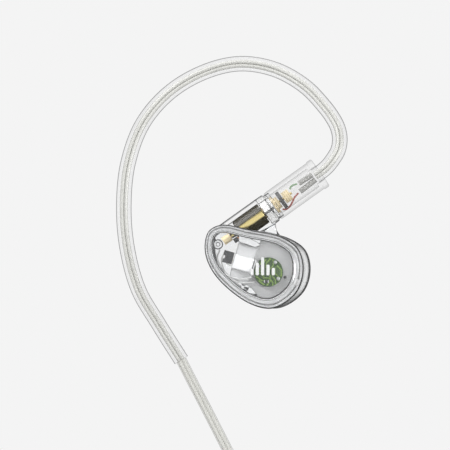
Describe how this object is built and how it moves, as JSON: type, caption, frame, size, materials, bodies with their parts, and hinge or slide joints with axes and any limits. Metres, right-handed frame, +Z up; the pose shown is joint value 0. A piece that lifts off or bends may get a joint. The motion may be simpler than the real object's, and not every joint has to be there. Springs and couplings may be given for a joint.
{
  "type": "in ear monitor",
  "caption": "Clear over-ear in-ear monitor with a detachable swivelling connector, formed ear hook, coiled lead and plug.",
  "frame": {"origin": "under the crown of the ear hook, where the top of the ear carries it", "axes": "+X to the front of the head, +Y into the head, +Z up, as the right-hand monitor is worn"},
  "size_m": [0.0436, 0.0211, 0.1504],
  "materials": {
    "clear_shell": "polished clear polycarbonate",
    "clear_boot": "clear flexible PVC",
    "lead_jacket": "clear jacket over silver-plated cores",
    "ear_silicone": "translucent silicone",
    "strap_silicone": "translucent white silicone",
    "gold": "gold plated",
    "silver_core": "twisted silver-plated strands",
    "steel": "plain",
    "satin_metal": "satin anodised",
    "solder": "tinned",
    "magnet": "nickel plated",
    "white_plastic": "white moulded",
    "armature_white": "white lacquered case",
    "grey_plate": "fine matte grey",
    "dark_plastic": "dark grey",
    "green_board": "green solder mask with traces",
    "green_jacket": "green wire",
    "red_jacket": "red wire",
    "pale_jacket": "pale wire",
    "copper": "copper alloy",
    "film": "thin polymer film"
  },
  "bodies": {
    "cable": {"boot": "clear_boot", "plug_barrel": "gold", "plug_insulator": "white_plastic", "plug_pin": "gold", "plug_disc": "dark_plastic", "plug_ferrule": "gold", "signal_wire": "green_jacket", "return_wire": "red_jacket", "core_end_1": "silver_core", "core_end_2": "silver_core", "ear_hook": "clear_boot", "hook_lead": "silver_core", "lead": "lead_jacket", "lead_coil": "lead_jacket", "cable_tie": "strap_silicone", "lead_tail": "lead_jacket", "jack_relief": "strap_silicone", "jack_handle": "satin_metal", "jack_sleeve": "gold", "jack_insulator_1": "dark_plastic", "jack_ring": "gold", "jack_insulator_2": "dark_plastic", "jack_tip": "gold"},
    "snap_ring": {"snap_ring": "copper"},
    "earpiece": {"face_cover": "clear_shell", "face_mark": "white_plastic", "inner_shell": "clear_shell", "driver_carrier": "grey_plate", "driver_yoke": "steel", "driver_magnet": "magnet", "driver_basket": "dark_plastic", "driver_ring": "steel", "armature_case": "armature_white", "armature_adapter": "dark_plastic", "armature_terminal": "solder", "crossover_board": "green_board", "solder_pad_1": "solder", "solder_pad_2": "solder", "chip_1": "dark_plastic", "chip_2": "dark_plastic", "locating_post": "clear_shell", "socket_clamp": "white_plastic", "carrier_bracket": "white_plastic", "sound_tube": "lead_jacket", "inner_signal_wire": "pale_jacket", "inner_ground_wire": "pale_jacket", "nozzle_screen": "steel", "damper": "white_plastic", "socket_body": "gold", "socket_collar": "white_plastic", "socket_insulator": "white_plastic", "socket_contact": "gold"},
    "diaphragm": {"diaphragm": "film", "voice_coil": "copper"},
    "ear_tip": {"ear_tip": "ear_silicone"}
  },
  "joints": [
    {"name": "connector_swivel", "type": "hinge", "parent": "cable", "child": "snap_ring", "pos_m": [0.00579, -0.0084, -0.02586], "axis": [0.8141, 0, 0.5807], "continuous": true},
    {"name": "connector_unplug", "type": "slide", "parent": "snap_ring", "child": "earpiece", "axis": [-0.8141, 0, -0.5807], "range_m": [0, 0.0065]},
    {"name": "diaphragm_travel", "type": "slide", "parent": "earpiece", "child": "diaphragm", "axis": [0, 1, 0], "range_m": [-0.00025, 0.00025], "stiffness_N_per_m": 60},
    {"name": "ear_tip_pull", "type": "slide", "parent": "earpiece", "child": "ear_tip", "axis": [0.38, 0.925, 0], "range_m": [0, 0.008]}
  ]
}
